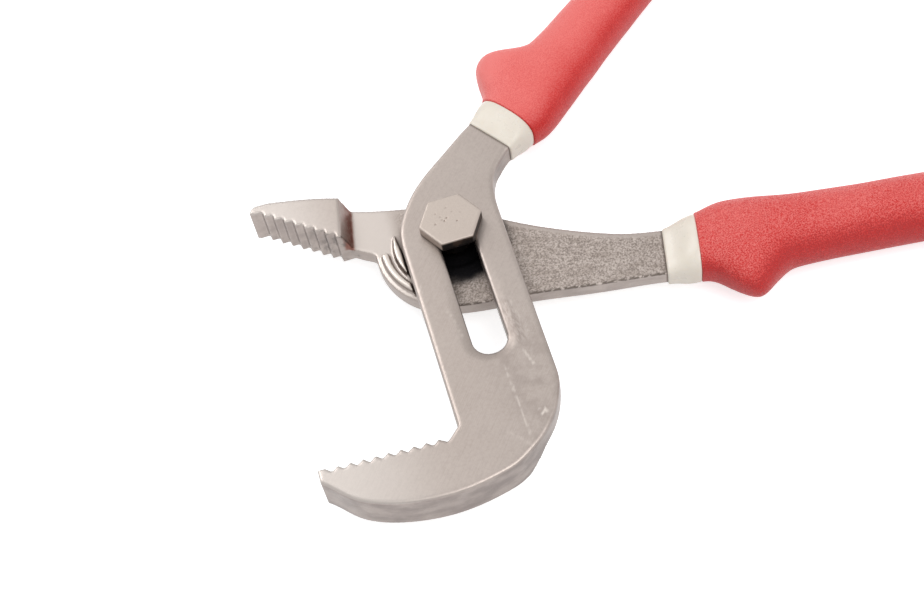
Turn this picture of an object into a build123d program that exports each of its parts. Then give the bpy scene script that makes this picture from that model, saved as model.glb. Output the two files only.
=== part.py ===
"""Tongue and groove pliers: a slotted handle, a tongue handle and the bolt that joins them.

Millimetres. The origin lies on the pivot bolt's axis, in the plane of the bolt's end face, with +Z
up through the bolt's head. The slot runs along -Y. The pliers stand at the widest setting: the bolt is
at the top of the slot and the tongue handle is swung open, as for shifting it along the slot.
"""
import os
from math import cos, radians, sin

from build123d import *

# ---- driving dimensions -------------------------------------------------------------------------
jaw_thickness = 10.4            # both jaws, front faces level and back faces level
slotted_arm_thickness = 5.4     # the plate that carries the slot
arm_gap = 0.3                   # between the two plates where they cross
seat_play = 0.05                # between faces that slide on each other

slot_width = 8.6
slotted_arm_width = 26.0
channel_pitch = 7.0             # distance between two settings
setting_count = 6
further_opening = 5.0           # degrees that the tongues stay clear past the modelled pose

tongue_height = 1.7
inner_tongue_width = 1.81
outer_tongue_width = 1.75
tongue_gap = 1.5                # between the two tongues
channel_clearance = 0.3
hub_rim_width = 1.45            # flat band outside the outer tongue
hub_pad_radius = 8.5            # spot face round the bolt hole
hub_pad_depth = 0.2

head_across_flats = 14.0
head_height = 3.1
slot_play = 0.1                 # each side of the bolt in the slot
bore_play = 0.05                # radial, bolt in the tongue handle
hex_edge_round = 0.3
thread_diameter = 6.0
thread_pitch = 1.0
thread_depth = 0.5
thread_play = 0.05
nut_across_flats = 10.0
nut_height = 3.5
washer_diameter = 14.0
washer_thickness = 1.2
washer_play = 0.1               # radial, round the thread

tooth_pitch = 2.965
tooth_depth = 1.25
slotted_tooth_count = 10
tongue_tooth_count = 9

edge_round = 0.8                # rounding along the edges
tongue_back_round = 1.6         # heavier rounding of the tongue handle's back
slot_edge_break = 0.3           # chamfer round the slot's rim

grip_length = 133.0
grip_thickness = 14.2
grip_half_width = 8.5           # along the plain part of the grip
grip_swell = 1.9                # wider by this just behind the guard
grip_end_round = 5.0
guard_thickness = 9.0
guard_round = 2.5
tang_width = 9.0
tang_inset = 0.7                # the tang is thinner than its arm by this on each face
tang_play = 0.1
tang_end_wall = 9.0             # solid grip past the tang's end
collar_pocket_depth = 1.6       # the arm's end sits this deep in the collar
collar_wall = 0.8
collar_shift = 1.4              # collars and grips lie nearer the tool's middle plane than their arms
ring_shift = 0.2                # the collar's end on the arm does so only this much

# ---- levels and plan sizes that follow ----------------------------------------------------------
back = nut_height + washer_thickness + seat_play
front = back + jaw_thickness
slotted_back = front - slotted_arm_thickness
tongue_front = slotted_back - arm_gap
tongue_arm_thickness = tongue_front - back
slotted_level = (slotted_back + front) / 2      # middle of each arm
tongue_level = (back + tongue_front) / 2
channel_top = tongue_front + tongue_height + channel_clearance

slot_travel = channel_pitch * (setting_count - 1)
lowest_pivot = Vector(0, -slot_travel)          # the bolt's place at the closest setting
plate_left = -0.515 * slotted_arm_width
plate_right = slotted_arm_width + plate_left
tongue_limit = plate_left - channel_clearance   # the tongues reach no nearer to the bolt than this
inner_tongue_radius = inner_tongue_width - tongue_limit
outer_tongue_inside = inner_tongue_radius + tongue_gap
outer_tongue_radius = outer_tongue_inside + outer_tongue_width
hub_radius = outer_tongue_radius + hub_rim_width
shank_diameter = slot_width - 2 * slot_play


# ---- helpers ------------------------------------------------------------------------------------
def face_of(*lines):
    """A plane face bounded by the given lines, in order."""
    return Face(Wire([edge for line in lines for edge in line.edges()]))


def prism(face, low, high):
    """The face carried straight up from the level low to the level high."""
    return extrude(Pos(0, 0, low) * face, amount=high - low, dir=(0, 0, 1))


def cylinder(radius, low, high):
    return prism(Face(Wire(Edge.make_circle(radius))), low, high)


def tube(inner, outer, low, high):
    return cylinder(outer, low, high) - cylinder(inner, low, high)


def block(x_low, x_high, y_low, y_high, low, high):
    """A box between two corners."""
    corners = [(x_low, y_low), (x_high, y_low), (x_high, y_high), (x_low, y_high)]
    return prism(face_of(Polyline(*corners, close=True)), low, high)


def along(angle):
    """Unit vector in the plan at an angle in degrees from +X."""
    return Vector(cos(radians(angle)), sin(radians(angle)))


def tooth_points(first_peak, direction, inward, count, root_run):
    """A row of V teeth, from its first peak to the root after its last peak."""
    step = along(direction) * tooth_pitch
    into = along(inward) * tooth_depth
    points = []
    for index in range(count):
        peak = first_peak + step * index
        points += [peak, peak + step * 0.5 + into]
    points[-1] = points[-1] + along(direction) * root_run
    return points


def long_edges_at(body, level):
    """The edges at a level that run along the arms and round the jaws, without the teeth and ends."""
    edges = body.edges().filter_by_position(Axis.Z, level - 0.01, level + 0.01)
    return edges.filter_by(lambda edge: edge.length > 20)


# ---- slotted handle -----------------------------------------------------------------------------
slotted_handle_angle = 39.5                     # the grip's direction
slotted_collar_angle = 33.5                     # the normal of the collar's end faces
slotted_collar_near = Vector(16.9, 25.2)
slotted_collar_far = Vector(23.2, 30.8)
slotted_neck_half_width = 6.9
slotted_jaw_angle = -2.53
throat_run = 2.06                               # from the row of teeth to the plate's edge
slotted_first_peak = lowest_pivot + Vector(
    plate_left - throat_run - slotted_tooth_count * tooth_pitch, -21.6
)
plate_end_angle = -31.8                         # of the line where plate thickens into jaw
plate_end_drop = 25.5                           # that line below the lowest pivot
plate_end_run = 7.5                             # how far the step leans out to its foot
jaw_back_round = 1.2
slotted_guard_peak = 13.8                       # how far down the grip its guard is highest


def neck_corners(near, angle, half_width):
    """Where an arm enters its collar and where it ends in it: right side, then left side."""
    across = along(angle + 90) * half_width
    end = near + along(angle) * collar_pocket_depth
    return near - across, end - across, end + across, near + across


def slotted_outline():
    """The whole slotted handle seen from the front, up to its end in the collar."""
    angle = slotted_collar_angle
    right_neck, right_end, left_end, left_neck = neck_corners(
        slotted_collar_near, angle, slotted_neck_half_width
    )
    tip_top = slotted_first_peak - along(slotted_jaw_angle) * 1.8
    tip_bottom = tip_top + Vector(0, -3.7)
    inward = slotted_jaw_angle - 90
    teeth = tooth_points(slotted_first_peak, slotted_jaw_angle, inward, slotted_tooth_count, 0.5)
    throat = Vector(plate_left, teeth[-1].Y + plate_left - teeth[-1].X)
    right_low = Vector(plate_right, lowest_pivot.Y - 13)
    right_top = Vector(plate_right, -3)
    left_top = Vector(plate_left, -3)
    jaw_back = [(-41.0, -31.1), (-33.5, -35.1), (-24.0, -37.2), (-14.5, -37.3), (-5.5, -35.6)]
    heel = [(plate_right - 10.2, -31.4), (plate_right - 6.0, -27.6), (plate_right - 2.8, -23.0),
            (plate_right - 0.8, -18.2)]
    jaw_back = [lowest_pivot + Vector(*point) for point in jaw_back]
    heel = [lowest_pivot + Vector(*point) for point in heel]
    return face_of(
        Line(right_low, right_top),
        Spline(right_top, (plate_right + 0.6, 8.4), (plate_right + 2.1, 12.9), (plate_right + 5.0, 16.6),
               right_neck, tangents=[(0, 1), along(angle)]),
        Polyline(right_neck, right_end, left_end, left_neck),
        Spline(left_neck, (4.0, 23.8), (plate_left + 7.2, 14.6), (plate_left + 1.9, 6.4), left_top,
               tangents=[along(angle + 180), (0, -1)]),
        Line(left_top, throat),
        Polyline(throat, *reversed(teeth), tip_top, tip_bottom),
        Spline(tip_bottom, *jaw_back, heel[0], tangents=[(0.8, -0.6), along(36)]),
        Spline(*heel, right_low, tangents=[along(36), (0, 1)]),
    )


def behind_the_plate():
    """What is cleared away behind the thin plate, where the other arm passes."""
    drop = slotted_back - back
    outward, edge = along(plate_end_angle + 90), along(plate_end_angle)
    middle = lowest_pivot + Vector(0, -plate_end_drop, slotted_back)
    reach = 300
    profile = Polyline((0, 0), (reach, 0), (reach, -drop), (-plate_end_run, -drop), close=True)
    return extrude(Plane(middle, x_dir=outward, z_dir=edge) * face_of(profile), amount=reach, both=True)


def tang_bar(start, angle, arm_thickness, level, play):
    """A bar from inside an arm's end to near the grip's end, made larger all round by the play."""
    half_width = tang_width / 2 + play
    half_thickness = arm_thickness / 2 - tang_inset + play
    bar = block(-collar_pocket_depth / 2, grip_length - tang_end_wall + play,
                -half_width, half_width, -half_thickness, half_thickness)
    return Pos(start.X, start.Y, level) * Rot(0, 0, angle) * bar


def rim_edges(body, level, width):
    """The edges round the slot at a level."""
    edges = body.edges().filter_by_position(Axis.Z, level - 0.01, level + 0.01)
    return edges.filter_by_position(Axis.X, -width / 2 - 0.01, width / 2 + 0.01)


def make_slotted_handle():
    outline = slotted_outline()
    body = prism(outline, back, front)
    body = fillet(long_edges_at(body, front), edge_round)
    body = fillet(long_edges_at(body, back), jaw_back_round)
    body -= behind_the_plate()

    slot = SlotCenterToCenter(slot_travel, slot_width, rotation=90).face()
    body -= Pos(0, -slot_travel / 2, 0) * prism(slot, back, front)
    body = chamfer(rim_edges(body, front, slot_width), slot_edge_break)
    for setting in range(setting_count):
        pivot = Pos(0, -setting * channel_pitch, 0)
        for inner, outer in tongue_rings():
            ring = tube(inner - channel_clearance, outer + channel_clearance, slotted_back, channel_top)
            reach = hub_radius + 5
            body -= pivot * (ring & block(-reach, 0, -reach, 0, slotted_back, channel_top))

    arm_end = slotted_collar_near + along(slotted_collar_angle) * collar_pocket_depth
    return body + tang_bar(arm_end, slotted_handle_angle, slotted_arm_thickness, slotted_level, 0)


# ---- tongue handle ------------------------------------------------------------------------------
tongue_handle_angle = -7.5
tongue_collar_angle = -12.5
tongue_collar_near = Vector(48.2, -21.8)
tongue_collar_far = Vector(56.2, -22.7)
tongue_neck_half_width = 6.7
tongue_jaw_angle = -38.83                       # the jaws stand open by the difference of angles
tongue_last_peak = Vector(-28.31, 6.71)
tongue_first_peak = tongue_last_peak - along(tongue_jaw_angle) * tooth_pitch * (tongue_tooth_count - 1)
tongue_guard_peak = 11.5
step_top = Vector(-25.2, 18.9)                  # upper end of the jaw's rear edge
step_angle = 80.8                               # direction of that edge
step_run = 2.2                                  # how far the rear face leans out to its foot
outer_tongue_start = 0.8                        # level in the plan where the outer tongue begins


def tongue_rings():
    """Inner and outer radius of each tongue."""
    return [(-tongue_limit, inner_tongue_radius), (outer_tongue_inside, outer_tongue_radius)]


def tongue_outline():
    """The whole tongue handle seen from the front, up to its end in the collar."""
    angle = tongue_collar_angle
    right_neck, right_end, left_end, left_neck = neck_corners(
        tongue_collar_near, angle, tongue_neck_half_width
    )
    inward = tongue_jaw_angle + 90
    teeth = tooth_points(tongue_first_peak, tongue_jaw_angle, inward, tongue_tooth_count, 0.2)
    tip = tongue_first_peak + Vector(-1.2, 0.35)
    rim_start, rim_middle, rim_end = [along(turn) * hub_radius for turn in (177, 214, 251)]
    nose_low, nose_high = tip + Vector(0.57, 1.38), tip + Vector(2.57, 2.18)
    jaw_back = [nose_high + Vector(5.4, -0.7), (-33.0, 21.7), (-26.5, 19.6), (-20, 17.2)]
    hub_top = Vector(-12, 14.8)
    upper_edge = [(0, 11.2), (13, 2.4), (25, -5.4), (38, -11.9)]
    return face_of(
        ThreePointArc(tip, nose_low, nose_high),
        Spline(nose_high, *jaw_back, hub_top, tangents=[along(2), along(-15)]),
        Spline(hub_top, *upper_edge, left_neck, tangents=[along(-15), along(angle)]),
        Polyline(left_neck, left_end, right_end, right_neck),
        Spline(right_neck, (30, -25.6), (12.6, -22.4), rim_end,
               tangents=[along(angle + 180), along(161)]),
        ThreePointArc(rim_end, rim_middle, rim_start),
        Spline(rim_start, (-22.4, 3.9), teeth[-1], tangents=[along(87), along(150)]),
        Polyline(*reversed(teeth), tip),
    )


def behind_the_jaw():
    """What is cleared away over the neck and arm, which leaves the jaw's leaning rear face."""
    drop = front - tongue_front
    outward, edge = along(step_angle - 90), along(step_angle)
    place = Plane((step_top.X, step_top.Y, front), x_dir=outward, z_dir=-edge)
    reach = 300
    profile = Polyline((0, 1), (0, 0), (step_run, -drop), (reach, -drop), (reach, 1), close=True)
    return extrude(place * face_of(profile), amount=reach, both=True)


def tongue_ridges():
    """The arc tongues, cut off where the slotted plate's edge passes as the bolt is shifted."""
    low, high = tongue_front, tongue_front + tongue_height
    reach = hub_radius + 5
    inner_ridge, outer_ridge = [tube(inner, outer, low, high) for inner, outer in tongue_rings()]
    ridges = inner_ridge + (outer_ridge - block(-reach, reach, outer_tongue_start, reach, low, high))
    for turn in (0, further_opening):
        ridges &= Rot(0, 0, turn) * block(-reach, tongue_limit, -reach, reach, low, high)
    return ridges


def make_tongue_handle():
    outline = tongue_outline()
    body = prism(outline, back, tongue_front)
    body += prism(outline, tongue_front, front) - behind_the_jaw()
    body = fillet(long_edges_at(body, back), tongue_back_round)
    body += tongue_ridges()
    body -= cylinder(shank_diameter / 2 + bore_play, back, front)
    body -= cylinder(hub_pad_radius, tongue_front - hub_pad_depth, front)
    arm_end = tongue_collar_near + along(tongue_collar_angle) * collar_pocket_depth
    return body + tang_bar(arm_end, tongue_handle_angle, tongue_arm_thickness, tongue_level, 0)


# ---- collars and grips --------------------------------------------------------------------------
# side is +1 for the handle that lies behind and -1 for the one in front: its collar and grip
# shift that way along Z, and its guard is on the opposite side in the plan
far_half_width = 8.85                           # where collar and grip meet
far_half_height = 5.8
guard_shape = [(-11.5, 7.6), (-8.4, 12.6), (-4.6, 16.0), (0, 17.6), (4.4, 14.8), (8.5, 9.8), (11.0, 8.0)]


def section(place, angle, half_width, half_height, corner):
    """A rounded oblong across a handle, at a point in space."""
    plane = Plane(place, x_dir=along(angle + 90), z_dir=along(angle))
    return plane * RectangleRounded(2 * half_width, 2 * half_height, corner).face()


def make_collar(near, far, collar_angle, handle_angle, neck_half_width, arm_thickness, level, side):
    """The hard plastic ring between arm and grip, with a pocket for the arm's end."""
    near_middle = near + Vector(0, 0, level + side * ring_shift)
    far_middle = far + Vector(0, 0, level + side * collar_shift)
    near_half_width = neck_half_width + collar_wall
    near_half_height = arm_thickness / 2 + ring_shift + collar_wall
    shell = loft([
        section(near_middle, collar_angle, near_half_width, near_half_height, 2 * collar_wall),
        section(far_middle, collar_angle, far_half_width, far_half_height, 0.9 * far_half_height),
    ])
    half_width, half_height = neck_half_width + tang_play, arm_thickness / 2 + tang_play
    pocket = block(-1, collar_pocket_depth + tang_play, -half_width, half_width, -half_height, half_height)
    shell -= Pos(near.X, near.Y, level) * Rot(0, 0, collar_angle) * pocket
    arm_end = near + along(collar_angle) * collar_pocket_depth
    return shell - tang_bar(arm_end, handle_angle, arm_thickness, level, tang_play)


def make_grip(near, far, collar_angle, handle_angle, arm_thickness, level, side, guard_peak):
    """The dipped grip: a long rounded bar with a thumb guard on its outer side."""
    up = Vector(0, 0, level + side * collar_shift)
    half_height = grip_thickness / 2
    swell = grip_half_width + grip_swell
    sections = [section(far + up, collar_angle, far_half_width, far_half_height, 0.9 * far_half_height)]
    stations = [(10, swell, half_height), (22, swell - 0.5, half_height), (45, grip_half_width, half_height),
                (grip_length, grip_half_width, half_height)]
    for distance, width, height in stations:
        place = far + up + along(handle_angle) * distance
        sections.append(section(place, handle_angle, width, height, 0.9 * height))
    bar = loft(sections, ruled=True)
    bar = fillet(bar.faces().sort_by(Axis((0, 0, 0), along(handle_angle)))[-1].edges(), grip_end_round)

    lobe = [(guard_peak + run, -side * rise) for run, rise in guard_shape]
    rim = face_of(Spline(*lobe), Polyline(lobe[-1], (lobe[-1][0], 0), (lobe[0][0], 0), lobe[0]))
    guard = prism(rim, -guard_thickness / 2, guard_thickness / 2)
    crest = guard.edges().filter_by(lambda edge: edge.geom_type == GeomType.BSPLINE)
    guard = fillet(crest, guard_round)
    guard = Pos(far.X, far.Y, up.Z) * Rot(0, 0, handle_angle) * guard
    arm_end = near + along(collar_angle) * collar_pocket_depth
    return bar + guard - tang_bar(arm_end, handle_angle, arm_thickness, level, tang_play)


# ---- bolt, washer and nut -----------------------------------------------------------------------
def threaded_rod(crest, low, high, depth):
    """A rod with ring grooves of the thread's profile, from low to high."""
    turns = int((high - low) / thread_pitch)
    points = [(0, low), (crest - depth, low)]
    for turn in range(turns):
        base = low + turn * thread_pitch
        points += [(crest, base + 0.5 * thread_pitch), (crest - depth, base + thread_pitch)]
    points += [(crest - depth, high), (0, high)]
    outline = Polyline(*[pt for k, pt in enumerate(points) if k == 0 or pt != points[k - 1]], close=True)
    return revolve(Plane.XZ * face_of(outline), Axis.Z)


def hexagon(across_flats, low, high):
    return prism(RegularPolygon(across_flats / 2, 6, major_radius=False).face(), low, high)


def make_pivot_bolt():
    shoulder = nut_height + washer_thickness
    head_low = front + seat_play
    head = hexagon(head_across_flats, head_low, head_low + head_height)
    head = fillet(head.edges().group_by(Axis.Z)[-1], hex_edge_round)
    shank = cylinder(shank_diameter / 2, shoulder, head_low)
    return head + shank + threaded_rod(thread_diameter / 2, 0, shoulder, thread_depth)


def make_pivot_nut():
    nut = hexagon(nut_across_flats, 0, nut_height)
    nut = fillet(nut.edges().filter_by(Axis.Z, reverse=True), hex_edge_round)
    shoulder = nut_height + washer_thickness
    return nut - threaded_rod(thread_diameter / 2 + thread_play, 0, shoulder, thread_depth)


def make_pivot_washer():
    hole = thread_diameter / 2 + washer_play
    return tube(hole, washer_diameter / 2, nut_height, nut_height + washer_thickness)


# ---- the set of parts ---------------------------------------------------------------------------
slotted_collar = (slotted_collar_near, slotted_collar_far, slotted_collar_angle, slotted_handle_angle)
tongue_collar = (tongue_collar_near, tongue_collar_far, tongue_collar_angle, tongue_handle_angle)

parts = {
    "slotted_handle": make_slotted_handle(),
    "slotted_handle_collar": make_collar(
        *slotted_collar, slotted_neck_half_width, slotted_arm_thickness, slotted_level, -1
    ),
    "slotted_handle_grip": make_grip(
        *slotted_collar, slotted_arm_thickness, slotted_level, -1, slotted_guard_peak
    ),
    "tongue_handle": make_tongue_handle(),
    "tongue_handle_collar": make_collar(
        *tongue_collar, tongue_neck_half_width, tongue_arm_thickness, tongue_level, 1
    ),
    "tongue_handle_grip": make_grip(
        *tongue_collar, tongue_arm_thickness, tongue_level, 1, tongue_guard_peak
    ),
    "pivot_bolt": make_pivot_bolt(),
    "pivot_washer": make_pivot_washer(),
    "pivot_nut": make_pivot_nut(),
}

os.makedirs("parts", exist_ok=True)
for name, shape in parts.items():
    export_step(shape, f"parts/{name}.step")
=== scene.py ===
"""Tongue and groove pliers: satin steel forgings, cream collars and dipped coral red grips.

Lengths are in millimetres until a mesh or an object is made, and in metres from there on.
"""
import math

import bmesh
import bpy
import numpy as np
from mathutils import Matrix, Vector, kdtree, noise


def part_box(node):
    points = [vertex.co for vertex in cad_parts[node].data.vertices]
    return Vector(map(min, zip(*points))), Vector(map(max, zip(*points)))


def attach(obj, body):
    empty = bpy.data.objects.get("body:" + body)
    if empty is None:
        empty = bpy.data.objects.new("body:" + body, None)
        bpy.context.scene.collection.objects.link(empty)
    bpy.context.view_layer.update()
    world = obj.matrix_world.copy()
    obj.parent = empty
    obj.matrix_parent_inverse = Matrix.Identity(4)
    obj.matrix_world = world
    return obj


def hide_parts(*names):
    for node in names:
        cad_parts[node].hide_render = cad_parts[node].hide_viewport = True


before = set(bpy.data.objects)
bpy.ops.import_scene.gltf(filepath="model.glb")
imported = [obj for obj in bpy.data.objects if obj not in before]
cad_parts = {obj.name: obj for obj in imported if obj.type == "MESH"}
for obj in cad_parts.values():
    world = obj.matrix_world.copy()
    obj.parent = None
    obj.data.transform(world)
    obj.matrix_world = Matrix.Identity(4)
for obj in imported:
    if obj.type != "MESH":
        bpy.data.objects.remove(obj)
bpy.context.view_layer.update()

MM = 0.001
SLOTTED, PIVOT, TONGUE = "slotted_handle", "pivot", "tongue_handle"

# ---- levels and places read from the frame ------------------------------------------------------
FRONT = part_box("slotted_handle")[1].z / MM              # the jaws' shared front face
ARM_THICKNESS, ARM_GAP = 5.4, 0.3                       # the slotted arm, and the air behind it
TONGUE_FRONT = FRONT - ARM_THICKNESS - ARM_GAP          # front face of the tongue handle's arm
HEAD_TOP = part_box("pivot_bolt")[1].z / MM
SLOT_HALF_WIDTH = 4.3
SLOT_BOTTOM = -35.0                                     # centre of the slot's lower end

# how fine the skins over the forgings and the bolt are, and how many times they are relaxed
SLOTTED_SKIN, TONGUE_SKIN, BOLT_SKIN = 0.355, 0.34, 0.22
RELAX_ROUNDS = 2


# ---- numeric helpers ----------------------------------------------------------------------------
def smoothstep(low, high, value):
    """0 below low, 1 above high, smooth between; low may be the larger one."""
    t = np.clip((value - low) / (high - low), 0, 1)
    return t * t * (3 - 2 * t)


def along(angle):
    """Unit vector in the plan at an angle in degrees from +X."""
    return Vector((math.cos(math.radians(angle)), math.sin(math.radians(angle)), 0))


def segment_distance(points, start, end):
    """Distance in the plan from each point to a segment."""
    start, end = np.array(start, float), np.array(end, float)
    run = end - start
    share = np.clip(((points - start) @ run) / (run @ run), 0, 1)
    return np.linalg.norm(points - start - share[:, None] * run, axis=1)


def cloud(points, size, seed):
    """Smooth noise from -1 to 1 at each point, with lumps of about the given size."""
    shift = Vector((seed * 7.1, seed * 3.3, seed * 5.7))
    return np.array([noise.noise(Vector(point) / size + shift) for point in points])


# ---- mesh helpers -------------------------------------------------------------------------------
def new_object(name, mesh):
    obj = bpy.data.objects.new(name, mesh)
    bpy.context.scene.collection.objects.link(obj)
    return obj


def coordinates(obj):
    """The vertices in millimetres."""
    flat = np.empty(len(obj.data.vertices) * 3)
    obj.data.vertices.foreach_get("co", flat)
    return flat.reshape(-1, 3) / MM


def normals(obj):
    flat = np.empty(len(obj.data.vertices) * 3)
    obj.data.vertices.foreach_get("normal", flat)
    return flat.reshape(-1, 3)


def move_vertices(obj, places):
    obj.data.vertices.foreach_set("co", (places * MM).ravel())
    obj.data.update()


def write_mask(obj, name, values):
    """A number per vertex, which a material reads by its name."""
    layer = obj.data.attributes.new(name, "FLOAT", "POINT")
    layer.data.foreach_set("value", np.asarray(values, np.float32))


def worn_copy(node, name, skin):
    """A fine even skin over a CAD node, relaxed so that its edges are as soft as worn steel."""
    obj = new_object(name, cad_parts[node].data.copy())
    remesh = obj.modifiers.new("skin", "REMESH")
    remesh.mode = "VOXEL"
    remesh.voxel_size = skin * MM
    relax = obj.modifiers.new("relax", "SMOOTH")
    relax.factor = 0.5
    relax.iterations = RELAX_ROUNDS
    bpy.context.view_layer.update()
    evaluated = obj.evaluated_get(bpy.context.evaluated_depsgraph_get())
    mesh = bpy.data.meshes.new_from_object(evaluated)
    obj.modifiers.clear()
    obj.data = mesh
    mesh.shade_smooth()
    return obj


def loft(name, rings):
    """A closed skin through rings of equally many points, in millimetres, with its ends filled."""
    count = len(rings[0])
    vertices = [tuple(point * MM) for ring in rings for point in ring]
    faces = []
    for row in range(len(rings) - 1):
        for k in range(count):
            after = (k + 1) % count
            low, high = row * count, (row + 1) * count
            faces.append((low + k, low + after, high + after, high + k))
    faces.append(tuple(reversed(range(count))))
    faces.append(tuple(range((len(rings) - 1) * count, len(rings) * count)))
    mesh = bpy.data.meshes.new(name)
    mesh.from_pydata(vertices, [], faces)
    work = bmesh.new()
    work.from_mesh(mesh)
    bmesh.ops.recalc_face_normals(work, faces=work.faces)
    work.to_mesh(mesh)
    work.free()
    mesh.shade_smooth()
    return new_object(name, mesh)


def section(centre, across, outer, inner, half_height, power, count=96):
    """A ring round a handle: half widths on its two sides, and how square its corners are."""
    ring = []
    for k in range(count):
        turn = 2 * math.pi * k / count
        c, s = math.cos(turn), math.sin(turn)
        width = outer if c >= 0 else inner
        side = math.copysign(abs(c) ** (2 / power), c) * width
        rise = math.copysign(abs(s) ** (2 / power), s) * half_height
        ring.append(centre + across * side + Vector((0, 0, rise)))
    return ring


# ---- material helpers ---------------------------------------------------------------------------
class Material:
    """A node material with short calls for the nodes that the finishes here share."""

    def __init__(self, name, colour, roughness, metallic=0.0):
        self.material = bpy.data.materials.new(name)
        self.material.use_nodes = True
        self.nodes = self.material.node_tree.nodes
        self.links = self.material.node_tree.links
        self.shader = self.nodes["Principled BSDF"]
        self.shader.inputs["Base Color"].default_value = (*colour, 1)
        self.shader.inputs["Roughness"].default_value = roughness
        self.shader.inputs["Metallic"].default_value = metallic
        self.place = self.nodes.new("ShaderNodeTexCoord").outputs["Object"]

    def add(self, kind, **settings):
        node = self.nodes.new(kind)
        for key, value in settings.items():
            setattr(node, key, value)
        return node

    def feed(self, socket, value):
        if isinstance(value, bpy.types.NodeSocket):
            self.links.new(value, socket)
        else:
            socket.default_value = value

    def stretched(self, turn, lengths):
        """Object space turned about Z, so that a texture's lumps get these lengths in mm."""
        turned = self.add("ShaderNodeMapping")
        turned.inputs["Rotation"].default_value = (0, 0, math.radians(-turn))
        self.feed(turned.inputs["Vector"], self.place)
        scaled = self.add("ShaderNodeMapping")
        scaled.inputs["Scale"].default_value = [1 / (length * MM) for length in lengths]
        self.feed(scaled.inputs["Vector"], turned.outputs["Vector"])
        return scaled.outputs["Vector"]

    def noise(self, lengths, turn=0, detail=3.0, roughness=0.55):
        """Noise from 0 to 1 with lumps of these lengths in mm."""
        if isinstance(lengths, (int, float)):
            lengths = (lengths,) * 3
        texture = self.add("ShaderNodeTexNoise")
        texture.inputs["Scale"].default_value = 1.0
        texture.inputs["Detail"].default_value = detail
        texture.inputs["Roughness"].default_value = roughness
        self.feed(texture.inputs["Vector"], self.stretched(turn, lengths))
        return texture.outputs["Fac"]

    def remap(self, value, from_low, from_high, to_low=0.0, to_high=1.0):
        ranged = self.add("ShaderNodeMapRange", interpolation_type="SMOOTHSTEP")
        self.feed(ranged.inputs["Value"], value)
        for name, number in (("From Min", from_low), ("From Max", from_high),
                             ("To Min", to_low), ("To Max", to_high)):
            ranged.inputs[name].default_value = number
        return ranged.outputs["Result"]

    def math(self, operation, first, second):
        node = self.add("ShaderNodeMath", operation=operation)
        self.feed(node.inputs[0], first)
        self.feed(node.inputs[1], second)
        return node.outputs[0]

    def mask(self, name):
        return self.add("ShaderNodeAttribute", attribute_name=name).outputs["Fac"]

    def mix(self, share, first, second, blend="MIX"):
        """Two colours mixed; a colour is a socket or three numbers."""
        node = self.add("ShaderNodeMix", data_type="RGBA", blend_type=blend)
        self.feed(node.inputs["Factor"], share)
        for socket, value in ((node.inputs[6], first), (node.inputs[7], second)):
            self.feed(socket, value if isinstance(value, bpy.types.NodeSocket) else (*value, 1))
        return node.outputs[2]

    def tinted(self, colour, where, strength, tint):
        """The colour mixed towards a tint where a mask says so, by up to this strength."""
        return self.mix(self.math("MULTIPLY", where, strength), colour, tint)

    def bump(self, height, depth, after=None):
        """A height from 0 to 1 pressed into the surface, depth in mm."""
        node = self.add("ShaderNodeBump")
        node.inputs["Strength"].default_value = 1.0
        node.inputs["Distance"].default_value = depth * MM
        self.feed(node.inputs["Height"], height)
        if after is not None:
            self.feed(node.inputs["Normal"], after)
        return node.outputs["Normal"]

    def finish(self, colour=None, roughness=None, normal=None):
        if colour is not None:
            self.feed(self.shader.inputs["Base Color"], colour)
        if roughness is not None:
            self.feed(self.shader.inputs["Roughness"], roughness)
        if normal is not None:
            self.feed(self.shader.inputs["Normal"], normal)
        return self.material


# ---- steel --------------------------------------------------------------------------------------
STEEL = (0.405, 0.350, 0.318)
STEEL_LIGHT = (0.475, 0.420, 0.388)
STEEL_DARK = (0.250, 0.210, 0.190)
STEEL_FLANK_SHADE = (0.235, 0.200, 0.185)            # painted shade on the flanks
STEEL_RUBBED = (0.575, 0.540, 0.510)          # towards the jaws' tips
STEEL_NECK_PAINTED_LIGHT = (0.55, 0.50, 0.465)            # painted light on the neck of the upper jaw
STEEL_POLISHED = (0.66, 0.60, 0.55)           # tops of the arc tongues
STEEL_SCRATCHED = (0.62, 0.56, 0.515)
BOLT_STEEL = (0.52, 0.45, 0.395)
BLAST_PIT, BLAST_CREST = (0.150, 0.120, 0.102), (0.62, 0.55, 0.49)
BLAST_STREAK, BLAST_EDGE = (0.21, 0.172, 0.145), (0.07, 0.055, 0.045)
SEAM_DIRT = (0.120, 0.095, 0.080)
SMUT_GREY = (0.12, 0.108, 0.10)
PIT_BROWN = (0.15, 0.10, 0.08)
RUST_BROWN = (0.165, 0.060, 0.042)
# painted shade: near black and brown on the bolt head's flanks; the black also goes over the grease
# round the bolt
SHADE_AND_OIL_BLACK = (0.010, 0.010, 0.012)
SHADE_BROWN = (0.085, 0.055, 0.040)


def steel_base(name, roughness):
    """Satin steel with cloudy tone and fine speckle: the material, its colour and its brushing."""
    steel = Material(name, STEEL, roughness, metallic=1.0)
    clouds = steel.noise(26.0, detail=2.0)
    speckle = steel.noise(0.7, detail=2.0)
    colour = steel.mix(steel.remap(clouds, 0.3, 0.7, 0.0, 0.35), STEEL, STEEL_LIGHT)
    colour = steel.mix(steel.remap(speckle, 0.35, 0.75, 0.0, 0.18), colour, STEEL_DARK)
    brushing = steel.noise((5.0, 0.16, 0.16), turn=52, detail=2.0)
    return steel, colour, brushing


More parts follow.
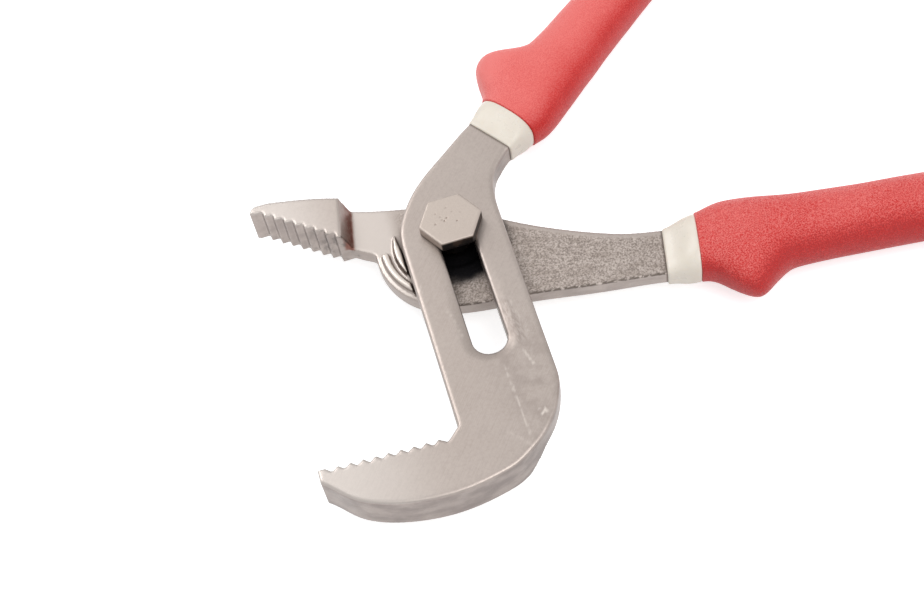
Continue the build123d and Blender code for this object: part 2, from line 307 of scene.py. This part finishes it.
def used_steel(steel, colour):
    """The colour with worn tips, painted shade in uneven clouds on the flanks, and dirt at the
    collar.
    """
    colour = steel.mix(steel.mask("worn"), colour, STEEL_RUBBED)
    # painted shade on the upright flanks, broken into uneven clouds
    clouds = steel.remap(steel.noise((7.0, 7.0, 3.0), detail=4.0), 0.35, 0.68, 0.45, 1.0)
    colour = steel.tinted(colour, steel.mask("side"), clouds, STEEL_FLANK_SHADE)
    return steel.tinted(colour, steel.mask("seam"), 0.8, SEAM_DIRT)


def slotted_steel():
    """The smooth slotted handle: handling marks, scratches, and a bruise beside the slot."""
    steel, colour, brushing = steel_base("slotted_handle_steel", 0.42)
    grime = steel.noise(3.5, detail=4.0)
    colour = steel.mix(steel.remap(brushing, 0.4, 0.75, 0.0, 0.16), colour, STEEL_DARK)
    patches = steel.math("MULTIPLY", steel.mask("handled"), steel.remap(grime, 0.35, 0.7))
    colour = steel.tinted(colour, patches, 0.45, STEEL_DARK)
    chatter = steel.noise((0.5, 1.6, 0.5), turn=10, detail=2.0)
    chatter = steel.math("MULTIPLY", steel.mask("bruise"), steel.remap(chatter, 0.42, 0.62))
    colour = steel.tinted(colour, chatter, 0.6, STEEL_DARK)
    colour = steel.tinted(colour, steel.mask("rim"), 0.4, STEEL_DARK)
    colour = steel.mix(steel.mask("scratch"), colour, STEEL_SCRATCHED)
    colour = used_steel(steel, colour)
    rough = steel.math("ADD", steel.remap(brushing, 0.2, 0.8, 0.36, 0.46),
                       steel.math("MULTIPLY", patches, 0.03))
    normal = steel.bump(brushing, 0.010)
    normal = steel.bump(steel.noise(0.5, detail=3.0), 0.012, after=normal)
    return steel.finish(colour, rough, normal)


def tongue_steel():
    """The tongue handle: grainy blasted arm, smooth neck and jaw, grease and painted shade at the
    bolt.
    """
    steel, colour, brushing = steel_base("tongue_handle_steel", 0.42)
    blasted = steel.mask("blasted")
    grain = steel.noise(0.50, detail=2.5, roughness=0.7)
    pits = steel.math("MULTIPLY", blasted, steel.remap(grain, 0.58, 0.34))
    colour = steel.tinted(colour, pits, 0.75, BLAST_PIT)
    crests = steel.math("MULTIPLY", blasted, steel.remap(grain, 0.52, 0.72))
    colour = steel.tinted(colour, crests, 0.5, BLAST_CREST)
    streaks = steel.remap(steel.noise((5.0, 1.8, 1.8), turn=-12, detail=3.0), 0.42, 0.66)
    streaks = steel.math("MULTIPLY", blasted, streaks)
    colour = steel.tinted(colour, streaks, 0.35, BLAST_STREAK)
    dots = steel.math("MULTIPLY", steel.mask("groove"), steel.remap(steel.noise(1.3), 0.62, 0.48))
    colour = steel.tinted(colour, dots, 0.85, BLAST_EDGE)
    # painted light: the neck of the upper jaw is lightened
    colour = steel.tinted(colour, steel.mask("bright"), 0.7, STEEL_NECK_PAINTED_LIGHT)
    colour = used_steel(steel, colour)
    stain = steel.noise(1.9, detail=3.0)
    rust = steel.math("MULTIPLY", steel.mask("rust"), steel.remap(stain, 0.25, 0.6, 0.6, 1.0))
    colour = steel.mix(rust, colour, RUST_BROWN)
    smut = steel.math("MULTIPLY", steel.mask("smut"), steel.remap(stain, 0.48, 0.66))
    colour = steel.tinted(colour, smut, 0.6, SMUT_GREY)
    # grease and painted shade: the hub round the bolt, seen through the slot under the head, goes
    # near black
    colour = steel.tinted(colour, steel.mask("oil_and_shade"), 0.985, SHADE_AND_OIL_BLACK)
    colour = steel.mix(steel.mask("polish"), colour, STEEL_POLISHED)
    rough = steel.math("ADD", steel.remap(brushing, 0.2, 0.8, 0.36, 0.46),
                       steel.math("MULTIPLY", blasted, 0.1))
    depth = steel.math("MULTIPLY", blasted, grain)
    normal = steel.bump(brushing, 0.006)
    normal = steel.bump(depth, 0.07, after=normal)
    normal = steel.bump(steel.noise(0.4, detail=3.0), 0.012, after=normal)
    return steel.finish(colour, rough, normal)


def bolt_steel():
    """The bolt, washer and nut: slightly yellower, finely pitted, with painted shade on its flanks.
    """
    steel, colour, brushing = steel_base("bolt_steel", 0.4)
    colour = steel.mix(0.5, colour, BOLT_STEEL)
    colour = steel.mix(steel.mask("pit"), colour, PIT_BROWN)
    # painted shade on the head's flanks: near black, going brown in clouds
    film = steel.remap(steel.noise(4.0, detail=2.0), 0.45, 0.6)
    oil_and_shade = steel.mix(film, SHADE_AND_OIL_BLACK, SHADE_BROWN)
    colour = steel.tinted(colour, steel.mask("oil_and_shade"), 0.93, oil_and_shade)
    speckle = steel.noise(0.35, detail=3.0)
    rough = steel.remap(brushing, 0.2, 0.8, 0.38, 0.5)
    return steel.finish(colour, rough, steel.bump(speckle, 0.02))


# ---- plastic and vinyl --------------------------------------------------------------------------
CREAM = (0.80, 0.725, 0.625)
CREAM_YELLOWED = (0.73, 0.65, 0.53)
CREAM_SPECK = (0.42, 0.36, 0.28)
CORAL = (0.62, 0.011, 0.007)
# painted light and painted shade on the grips: paler towards the key lamp, deeper on the far side
CORAL_PAINTED_LIGHT = (0.83, 0.160, 0.140)
CORAL_PAINTED_SHADE = (0.47, 0.005, 0.004)


def collar_plastic():
    """Hard glossy cream plastic, a little yellowed and scuffed."""
    plastic = Material("collar_plastic", CREAM, 0.3)
    plastic.shader.inputs["Subsurface Weight"].default_value = 0.08
    plastic.shader.inputs["Subsurface Radius"].default_value = (0.8 * MM, 0.6 * MM, 0.4 * MM)
    plastic.shader.inputs["Subsurface Scale"].default_value = 1.0
    clouds = plastic.noise(5.0, detail=3.0)
    specks = plastic.noise(0.45, detail=1.0)
    colour = plastic.mix(plastic.remap(clouds, 0.35, 0.75, 0.0, 0.4), CREAM, CREAM_YELLOWED)
    colour = plastic.mix(plastic.remap(specks, 0.70, 0.78, 0.0, 0.35), colour, CREAM_SPECK)
    rough = plastic.remap(clouds, 0.3, 0.7, 0.24, 0.38)
    return plastic.finish(colour, rough, plastic.bump(plastic.noise(1.6, detail=3.0), 0.02))


def grip_vinyl():
    """Dipped vinyl: a fine pebbled skin with a soft sheen."""
    vinyl = Material("grip_vinyl", CORAL, 0.42)
    vinyl.shader.inputs["Specular IOR Level"].default_value = 0.5
    clouds = vinyl.noise(14.0, detail=2.0)
    pebble = vinyl.noise(0.30, detail=2.0, roughness=0.5)
    relief = vinyl.math("MULTIPLY", pebble, vinyl.mask("pebble"))
    # painted light, glints and shade: paler towards the key lamp and on grain crests, deeper on the
    # far side
    grain = vinyl.math("MULTIPLY", vinyl.remap(pebble, 0.35, 0.65, -0.5, 0.5), vinyl.mask("pebble"))
    painted_shading = vinyl.math("ADD", vinyl.mask("painted_shading"), grain)
    painted_shading = vinyl.math("ADD", painted_shading, vinyl.remap(clouds, 0.3, 0.7, -0.08, 0.08))
    colour = vinyl.mix(painted_shading, CORAL, CORAL_PAINTED_LIGHT)
    # painted shade where the mask falls below zero
    colour = vinyl.mix(vinyl.remap(painted_shading, 0.1, -0.5), colour, CORAL_PAINTED_SHADE)
    rough = vinyl.remap(pebble, 0.3, 0.7, 0.46, 0.38)
    normal = vinyl.bump(vinyl.noise(3.0, detail=2.0), 0.05)
    return vinyl.finish(colour, rough, vinyl.bump(relief, 0.30, after=normal))


# ---- where the handles' collars and grips lie ---------------------------------------------------
class Handle:
    """Where a handle's collar and grip lie, in millimetres, and which side its guard is on."""

    def __init__(self, name, near, far, neck_angle, grip_angle, side, neck, pebble):
        self.name = name
        self.near, self.far = Vector(near), Vector(far)
        self.neck_angle, self.grip_angle = neck_angle, grip_angle
        self.side = side                        # 1: the guard is left of the grip's direction
        self.neck = neck                        # half width and half height at the collar's mouth
        self.pebble = pebble                    # how coarse the dipped skin came out

    def across(self, angle):
        return along(angle + 90) * self.side


SLOTTED_HANDLE = Handle(
    "slotted_handle", (16.9, 25.2, 12.25), (23.2, 30.8, 11.05), 33.5, 39.5, 1, (7.45, 3.45), 0.45
)
TONGUE_HANDLE = Handle(
    "tongue_handle", (48.2, -21.8, 7.3), (56.2, -22.7, 8.5), -12.5, -7.5, -1, (7.25, 3.05), 1.0
)


def seam(handle, places):
    """1 in the thin line of dirt where a forging enters its collar."""
    outside = (np.array(handle.near) - places) @ np.array(along(handle.neck_angle))
    return smoothstep(0.75, 0.35, np.abs(outside))


# painted shade: this mask marks the flanks that are darkened
def painted_flank_shade(facing, start):
    """1 where a skin stands upright, fading to 0 where its normal's rise reaches start."""
    return smoothstep(start, 0.2, np.abs(facing[:, 2]))


# ---- the slotted handle -------------------------------------------------------------------------
# scratches on the front face: start, end, half width, strength
SCRATCHES = [((1.2, -43.9), (1.8, -64.7), 0.16, 0.5), ((6.5, -40.8), (7.9, -45.8), 0.2, 0.6),
             ((5.6, -58.2), (6.2, -59.4), 0.4, 0.9), ((6.6, -58.0), (6.9, -58.9), 0.3, 0.8),
             ((-7.6, -24.2), (-5.9, -32.9), 0.35, 0.3), ((-11.9, -15.0), (-12.5, -19.0), 0.2, 0.5),
             ((-3.1, -61.0), (1.7, -66.7), 0.2, 0.25), ((7.4, -26.0), (9.2, -36.5), 0.14, 0.3)]
BRUISE_FROM, BRUISE_TO = (6.0, -27.0), (7.2, -37.5)     # beside the slot, right
HANDLED_FROM, HANDLED_TO = (5.5, -40.0), (9.0, -66.0)   # the stained patch down to the heel
BRUISE_DEPTH, SCRATCH_DEPTH = 0.035, 0.03


def slot_distance(points):
    """Distance in the plan from the slot's edge, negative inside the slot."""
    return segment_distance(points, (0, 0), (0, SLOT_BOTTOM)) - SLOT_HALF_WIDTH


def make_slotted_handle():
    """The forging with the slot, its rim dished by the bolt's head, bruised and scratched."""
    obj = worn_copy("slotted_handle", "slotted_handle_forging", SLOTTED_SKIN)
    places, facing = coordinates(obj), normals(obj)
    plan = places[:, :2]
    front_edge = 1.2                    # the rounded edge of the front face counts as front
    on_front = (places[:, 2] > FRONT - front_edge) & (facing[:, 2] > 0.2)

    # the bolt's head has dished the rim of the slot, most at its lower end
    rim = slot_distance(plan)
    low_end = smoothstep(-14, -36, places[:, 1])
    dished = on_front * (1 - smoothstep(0.0, 2.6, rim))
    dish = dished * (0.05 + 0.25 * low_end)
    # the head has also bruised the metal right of the slot
    bruise_at = segment_distance(plan, BRUISE_FROM, BRUISE_TO)
    bruise = on_front * (1 - smoothstep(0.2, 2.6, bruise_at))
    lumps = cloud(places * (bruise[:, None] > 0), 0.9, 3)
    places[:, 2] -= dish + BRUISE_DEPTH * (1 + lumps) * bruise

    scratch = np.zeros(len(places))
    wander = 0.12 * cloud(places * on_front[:, None], 1.2, 5)
    for start, end, width, strength in SCRATCHES:
        reach = segment_distance(plan, start, end) + wander
        line = on_front * (1 - smoothstep(width * 0.6, width * 2.0, reach)) * strength
        broken = smoothstep(-0.25, 0.25, cloud(places * (line[:, None] > 0), 1.1, 9))
        scratch = np.maximum(scratch, line * broken)
    places[:, 2] -= SCRATCH_DEPTH * scratch
    move_vertices(obj, places)

    around = segment_distance(plan, HANDLED_FROM, HANDLED_TO)
    handled = on_front * np.maximum(1 - smoothstep(3.0, 11.0, around), bruise)
    write_mask(obj, "scratch", scratch)
    write_mask(obj, "handled", handled)
    write_mask(obj, "bruise", bruise)
    write_mask(obj, "rim", dished * (0.25 + 0.75 * low_end) * smoothstep(0.1, 0.7, rim))
    # painted shade on the upright flanks
    write_mask(obj, "side", painted_flank_shade(facing, 0.8))
    write_mask(obj, "seam", seam(SLOTTED_HANDLE, places))
    write_mask(obj, "worn", on_front * smoothstep(-12.0, -42.0, places[:, 0]) * 0.5)
    obj.data.materials.clear()
    obj.data.materials.append(slotted_steel())
    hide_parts("slotted_handle")
    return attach(obj, SLOTTED)


# ---- the tongue handle --------------------------------------------------------------------------
STEP_TOP = (-25.2, 18.9)                # upper end of the rear edge of the jaw
STEP_ANGLE = 80.8
ARM_MIDDLE, ARM_FALL = -5.6, 0.337      # the arm's middle line: its level at x = 0 and its fall
BLAST_DEPTH, BLAST_ROUGH = 0.10, 0.03   # how deep the arm's face is blasted, and how unevenly
OIL_INNER, OIL_OUTER = 11.5, 15.0       # radii where the grease and painted shade round the bolt fade out


def edge_distance(places, chosen, others):
    """Distance in the plan from each chosen vertex to the nearest of the others."""
    tree = kdtree.KDTree(int(others.sum()))
    for index, (x, y) in enumerate(places[others, :2]):
        tree.insert((x, y, 0), index)
    tree.balance()
    reach = np.zeros(len(places))
    for index in np.flatnonzero(chosen):
        x, y = places[index, :2]
        reach[index] = tree.find((x, y, 0))[2]
    return reach


def make_tongue_handle():
    """The forging with the arc tongues: arm blasted, jaw worn, grease and painted shade on its hub.
    """
    obj = worn_copy("tongue_handle", "tongue_handle_forging", TONGUE_SKIN)
    places, facing = coordinates(obj), normals(obj)
    plan = places[:, :2]
    radius = np.linalg.norm(plan, axis=1)
    level = places[:, 2]
    on_front = (np.abs(level - TONGUE_FRONT) < 0.3) & (facing[:, 2] > 0.9)
    inside = edge_distance(places, on_front, ~on_front & (np.abs(level - TONGUE_FRONT) < 2.5))

    # the arm's face is blasted: inside a smooth border above, and out to the edge below
    arm = smoothstep(-14.0, -8.0, places[:, 0])
    lower = places[:, 1] < ARM_MIDDLE - ARM_FALL * places[:, 0]
    border = np.where(lower, smoothstep(0.2, 0.6, inside), smoothstep(0.9, 1.7, inside))
    panel = on_front * border * arm
    grain = cloud(places * (panel[:, None] > 0), 0.7, 1)
    places[:, 2] -= panel * (BLAST_DEPTH - BLAST_ROUGH * grain)
    shoulder = (np.abs(level - TONGUE_FRONT) < 0.9) & (facing[:, 2] > 0.3) & (facing[:, 1] < -0.12)
    groove = shoulder * arm * lower
    # painted light: this marks the front of the upper jaw's neck, out past the tongues
    bright = on_front * smoothstep(-12.0, -16.0, places[:, 0]) * smoothstep(13.0, 17.0, radius)
    move_vertices(obj, places)

    # how far a point lies out from the rear edge of the jaw, on the neck's side
    outward = along(STEP_ANGLE - 90)
    behind = (plan - np.array(STEP_TOP)) @ np.array((outward.x, outward.y))
    leaning = (level < FRONT - 0.5) & (level > TONGUE_FRONT - 0.3) & (places[:, 0] < -18)
    low_down = 0.35 + 0.65 * smoothstep(FRONT - 1.0, TONGUE_FRONT + 1.5, level)
    rust = leaning * smoothstep(-0.2, 0.6, behind) * (1 - smoothstep(2.0, 3.0, behind)) * low_down
    smut = (places[:, 0] < -24) * (facing[:, 1] < -0.2) * smoothstep(-38, -30, places[:, 0])
    tongues = (level > TONGUE_FRONT + 0.5) & (places[:, 0] > -21) & (radius > 12)
    polish = tongues * smoothstep(0.5, 0.9, facing[:, 2]) * 0.85
    # grease and painted shade over the hub round the bolt, with a ragged edge
    stain_edge = radius + 1.2 * cloud(places * on_front[:, None], 2.5, 4)
    oil_and_shade = (level > TONGUE_FRONT - 1.5) * (1 - smoothstep(OIL_INNER, OIL_OUTER, stain_edge))
    write_mask(obj, "blasted", panel)
    write_mask(obj, "groove", groove)
    write_mask(obj, "bright", bright)
    write_mask(obj, "rust", rust)
    write_mask(obj, "smut", smut)
    write_mask(obj, "polish", polish)
    write_mask(obj, "oil_and_shade", oil_and_shade)
    # painted shade on the upright flanks, weaker here
    write_mask(obj, "side", painted_flank_shade(facing, 0.7) * 0.7)
    write_mask(obj, "seam", seam(TONGUE_HANDLE, places))
    write_mask(obj, "worn", (level > FRONT - 0.5) * smoothstep(-20.0, -42.0, places[:, 0]) * 0.45)
    obj.data.materials.clear()
    obj.data.materials.append(tongue_steel())
    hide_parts("tongue_handle")
    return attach(obj, TONGUE)


# ---- bolt, washer and nut -----------------------------------------------------------------------
# pits in the head's top: place and strength, 1 for the darkest
PITS = [(-3.0, 2.6, 0.9), (-1.4, -0.2, 0.9), (-0.7, 0.5, 1.0), (1.5, -1.2, 0.9), (0.9, 2.0, 0.4),
        (-2.2, 1.3, 0.5), (2.9, 1.1, 0.35), (-3.9, -0.6, 0.5), (-0.2, 3.6, 0.45), (-1.9, 0.3, 0.6)]
PIT_RADIUS, PIT_DEPTH = 0.34, 0.10


def make_bolt(steel):
    """The worn bolt: a pitted head, painted shade under its top edge, not on the flanks facing
    left.
    """
    obj = worn_copy("pivot_bolt", "pivot_bolt_worn", BOLT_SKIN)
    places, facing = coordinates(obj), normals(obj)
    top = (places[:, 2] > HEAD_TOP - 0.4) & (facing[:, 2] > 0.8)
    pit = np.zeros(len(places))
    ragged = 0.22 * cloud(places * top[:, None], 0.5, 8)
    for x, y, strength in PITS:
        reach = np.linalg.norm(places[:, :2] - np.array((x, y)), axis=1) + ragged
        pit = np.maximum(pit, top * strength * (1 - smoothstep(0.02, PIT_RADIUS, reach)))
    # painted shade on the head's upright flanks below the top edge, left off the flanks facing left
    # towards the light
    upright = smoothstep(0.75, 0.35, np.abs(facing[:, 2]))
    below_edge = smoothstep(HEAD_TOP - 0.2, HEAD_TOP - 0.7, places[:, 2])
    # the flanks facing left keep painted shade at their foot, where they meet the arm
    clear_of_arm = smoothstep(FRONT + 0.3, FRONT + 0.9, places[:, 2])
    facing_light = smoothstep(-0.45, -0.75, facing[:, 0]) * clear_of_arm
    oil_and_shade = upright * below_edge * (1 - 0.9 * facing_light)
    places[:, 2] -= PIT_DEPTH * pit
    move_vertices(obj, places)
    write_mask(obj, "pit", pit)
    write_mask(obj, "oil_and_shade", oil_and_shade)
    obj.data.materials.clear()
    obj.data.materials.append(steel)
    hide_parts("pivot_bolt")
    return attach(obj, PIVOT)


def dress_hardware(steel):
    """The nut and the washer keep their CAD shape."""
    for node in ("pivot_nut", "pivot_washer"):
        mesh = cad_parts[node].data
        mesh.materials.clear()
        mesh.materials.append(steel)


# ---- collars and grips --------------------------------------------------------------------------
JOINT_HALF_WIDTH, JOINT_HALF_HEIGHT = 8.85, 5.8         # where collar and grip meet
GRIP_HALF_HEIGHT = 7.05
GRIP_LENGTH = 133.0
GRIP_LIP = 0.15                                         # how far the grip's mouth stands proud
GRIP_END_ROUND = 6.5
PAINTED_LIGHT_SIDE = (-0.42, 0.38, 0.82)                       # the grips' painted light comes from here, towards the key lamp

# distance down the grip, outer half width, inner half width
SLOTTED_PROFILE = [(0, 8.9, 8.9), (2.0, 9.8, 10.2), (4.5, 13.2, 10.7), (9, 17.2, 10.7),
                   (13, 18.9, 10.5), (16.6, 18.2, 10.3), (19.4, 13.4, 10.1), (22, 9.9, 9.9),
                   (28, 9.2, 9.6), (41, 8.8, 8.9), (60, 8.5, 8.5), (GRIP_LENGTH, 8.5, 8.5)]
TONGUE_PROFILE = [(0, 8.9, 8.7), (3, 9.0, 10.0), (6.5, 13.0, 11.0), (11, 17.2, 11.2),
                  (13, 16.8, 11.1), (17, 13.0, 10.7), (21, 9.8, 10.0), (27, 9.2, 9.3),
                  (41, 8.7, 8.7), (60, 8.5, 8.5), (GRIP_LENGTH, 8.5, 8.5)]


def blurred(keys, stations, blur):
    """Straight runs between given keys, blurred into one smooth curve."""
    distances = [key[0] for key in keys]
    offsets = np.linspace(-2, 2, 21) * blur
    weights = np.exp(-0.5 * (offsets / blur) ** 2)
    weights /= weights.sum()
    columns = []
    for column in range(1, len(keys[0])):
        values = [key[column] for key in keys]
        spread = stations[:, None] + offsets[None, :]
        columns.append(np.interp(spread, distances, values) @ weights)
    return columns


def make_collar(handle, plastic):
    """A short tapered sleeve with a rounded lip at each end."""
    rings = []
    neck_width, neck_height = handle.neck
    # share of the way from the neck to the grip, and how far inside the sleeve's skin
    stations = [(-0.02, 1.3), (-0.02, 0.35), (0.0, 0.12), (0.04, 0.0)]
    stations += [(share, 0.0) for share in np.linspace(0.1, 0.94, 14)]
    stations += [(0.98, 0.06), (1.0, 0.2), (1.0, 1.5)]
    for share, inset in stations:
        centre = handle.near.lerp(handle.far, share)
        flare = float(smoothstep(0, 1, np.clip(share, 0, 1)))
        width = neck_width + (JOINT_HALF_WIDTH - neck_width) * flare - inset
        height = neck_height + (JOINT_HALF_HEIGHT - neck_height) * flare - inset
        power = 5.0 - 2.4 * flare
        across = handle.across(handle.neck_angle)
        rings.append(section(centre, across, width, width, height, power))
    obj = loft(handle.name + "_collar_sleeve", rings)
    obj.data.materials.append(plastic)
    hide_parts(handle.name + "_collar")
    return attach(obj, handle.name)


def make_grip(handle, profile, vinyl):
    """The dipped grip: a long rounded bar that swells into a thumb guard near the collar."""
    straight = GRIP_LENGTH - GRIP_END_ROUND
    mouth_height = JOINT_HALF_HEIGHT + GRIP_LIP
    body = np.concatenate([np.linspace(0.3, 40, 110), np.linspace(40.8, straight, 110)])
    outer, inner = blurred(profile, body, 1.5)
    rings = []

    def ring_at(distance, outer_width, inner_width, height):
        settled = float(smoothstep(0, 12, np.array(distance)))
        angle = handle.neck_angle + (handle.grip_angle - handle.neck_angle) * settled
        centre = handle.far + along(handle.grip_angle) * distance
        power = 2.6 - 0.3 * settled
        rings.append(section(centre, handle.across(angle), outer_width, inner_width, height, power))

    for inset, distance in ((1.6, 0.0), (0.45, 0.0), (0.12, 0.08)):
        ring_at(distance, outer[0] - inset, inner[0] - inset, mouth_height - inset)
    for distance, wide, narrow in zip(body, outer, inner):
        swell = float(smoothstep(-1.0, 9.0, np.array(distance)))
        ring_at(distance, wide, narrow, mouth_height + (GRIP_HALF_HEIGHT - mouth_height) * swell)
    for turn in np.linspace(0, 84, 16)[1:]:
        shrink = GRIP_END_ROUND * (1 - math.cos(math.radians(turn)))
        distance = straight + GRIP_END_ROUND * math.sin(math.radians(turn))
        ring_at(distance, outer[-1] - shrink, inner[-1] - shrink, GRIP_HALF_HEIGHT - shrink)

    obj = loft(handle.name + "_grip_skin", rings)
    places, facing = coordinates(obj), normals(obj)
    # a dipped skin is never quite even
    places += facing * (0.10 * cloud(places, 9.0, 6))[:, None]
    move_vertices(obj, places)
    write_mask(obj, "pebble", np.full(len(places), handle.pebble))
    # painted light and shade: the coarser of the two skins is lit less, and shaded more on its far
    # side
    towards = facing @ np.array(PAINTED_LIGHT_SIDE)
    painted_shading = smoothstep(0.5 * handle.pebble - 0.25, 1.1, towards) * (1.15 - 0.45 * handle.pebble)
    painted_shading -= 0.45 * handle.pebble ** 2 * smoothstep(0.75, 0.1, towards)
    # painted light: the finer skin is also paler on its guard
    outward = (places - np.array(handle.far)) @ np.array(handle.across(handle.grip_angle))
    painted_shading += 0.5 * (1 - handle.pebble) * smoothstep(7.0, 14.0, outward)
    write_mask(obj, "painted_shading", painted_shading)
    obj.data.materials.append(vinyl)
    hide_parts(handle.name + "_grip")
    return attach(obj, handle.name)


# ---- camera, light and floor, in metres ---------------------------------------------------------
CAMERA_PLACE = (-0.02256, -0.24718, 0.33309)
CAMERA_RIGHT = Vector((0.958, -0.2582, -0.1246))
CAMERA_UP = Vector((0.2827, 0.7781, 0.5609))
LENS, SENSOR_WIDTH = 63.09, 36.0                        # in millimetres, as on a real camera
SKY_TINT, SKY_STRENGTH = (0.93, 0.96, 1.0, 1), 0.62     # light from the world
PAPER, PAPER_GLOW, PAPER_HALF_WIDTH = 0.80, 0.66, 3.0   # the floor, and what whitens it when seen


def make_camera():
    data = bpy.data.cameras.new("camera")
    data.lens, data.sensor_width = LENS, SENSOR_WIDTH
    camera = bpy.data.objects.new("camera", data)
    bpy.context.scene.collection.objects.link(camera)
    back = CAMERA_RIGHT.cross(CAMERA_UP)
    turn = Matrix((CAMERA_RIGHT, CAMERA_UP, back)).transposed().to_4x4()
    camera.matrix_world = Matrix.Translation(CAMERA_PLACE) @ turn
    bpy.context.scene.camera = camera


def soft_box(name, place, target, size, power):
    """A square lamp at a place, turned to its target."""
    data = bpy.data.lights.new(name, "AREA")
    data.shape, data.size, data.energy = "SQUARE", size, power
    lamp = bpy.data.objects.new(name, data)
    bpy.context.scene.collection.objects.link(lamp)
    lamp.location = place
    lamp.rotation_mode = "QUATERNION"
    lamp.rotation_quaternion = (Vector(target) - Vector(place)).to_track_quat("-Z", "Y")


def white_when_seen(tree, plain, white):
    """The plain shader for light, and the white one where the camera, metal or glass shows it."""
    nodes, links = tree.nodes, tree.links
    path = nodes.new("ShaderNodeLightPath")
    seen = path.outputs["Is Camera Ray"]
    for name in ("Is Glossy Ray", "Is Transmission Ray"):
        either = nodes.new("ShaderNodeMath")
        either.operation = "MAXIMUM"
        links.new(seen, either.inputs[0])
        links.new(path.outputs[name], either.inputs[1])
        seen = either.outputs[0]
    mix = nodes.new("ShaderNodeMixShader")
    links.new(seen, mix.inputs[0])
    links.new(plain, mix.inputs[1])
    links.new(white, mix.inputs[2])
    return mix.outputs[0]


def make_world():
    world = bpy.data.worlds.new("studio")
    bpy.context.scene.world = world
    world.use_nodes = True
    tree = world.node_tree
    plain = tree.nodes["Background"]
    plain.inputs["Color"].default_value = SKY_TINT
    plain.inputs["Strength"].default_value = SKY_STRENGTH
    white = tree.nodes.new("ShaderNodeBackground")
    white.inputs["Color"].default_value = (1, 1, 1, 1)
    out = white_when_seen(tree, plain.outputs[0], white.outputs[0])
    tree.links.new(out, tree.nodes["World Output"].inputs["Surface"])


def make_floor():
    """A wide pale floor. Seen directly it is white where lit and keeps the soft shadow."""
    half = PAPER_HALF_WIDTH
    mesh = bpy.data.meshes.new("floor")
    corners = [(-half, -half, 0), (half, -half, 0), (half, half, 0), (-half, half, 0)]
    mesh.from_pydata(corners, [], [(0, 1, 2, 3)])
    floor = new_object("floor", mesh)
    material = bpy.data.materials.new("floor_paper")
    material.use_nodes = True
    tree = material.node_tree
    paper = tree.nodes["Principled BSDF"]
    paper.inputs["Base Color"].default_value = (PAPER, PAPER, PAPER, 1)
    paper.inputs["Roughness"].default_value = 0.9
    paper.inputs["Specular IOR Level"].default_value = 0.1
    glow = tree.nodes.new("ShaderNodeEmission")
    glow.inputs["Strength"].default_value = PAPER_GLOW
    lit = tree.nodes.new("ShaderNodeAddShader")
    tree.links.new(paper.outputs[0], lit.inputs[0])
    tree.links.new(glow.outputs[0], lit.inputs[1])
    out = white_when_seen(tree, paper.outputs[0], lit.outputs[0])
    tree.links.new(out, tree.nodes["Material Output"].inputs["Surface"])
    mesh.materials.append(material)


def make_lights():
    soft_box("key", place=(-0.70, 1.05, 1.20), target=(0.02, 0.0, 0.0), size=0.9, power=8.5)
    soft_box("fill", place=(0.50, -0.55, 1.25), target=(0.02, -0.02, 0.0), size=1.0, power=8.2)


# ---- the scene ----------------------------------------------------------------------------------
bolt_finish = bolt_steel()
make_slotted_handle()
make_tongue_handle()
make_bolt(bolt_finish)
dress_hardware(bolt_finish)
cream, coral = collar_plastic(), grip_vinyl()
for handle, profile in ((SLOTTED_HANDLE, SLOTTED_PROFILE), (TONGUE_HANDLE, TONGUE_PROFILE)):
    make_collar(handle, cream)
    make_grip(handle, profile, coral)
make_camera()
make_lights()
make_world()
make_floor()
bpy.context.scene.view_settings.view_transform = "Standard"
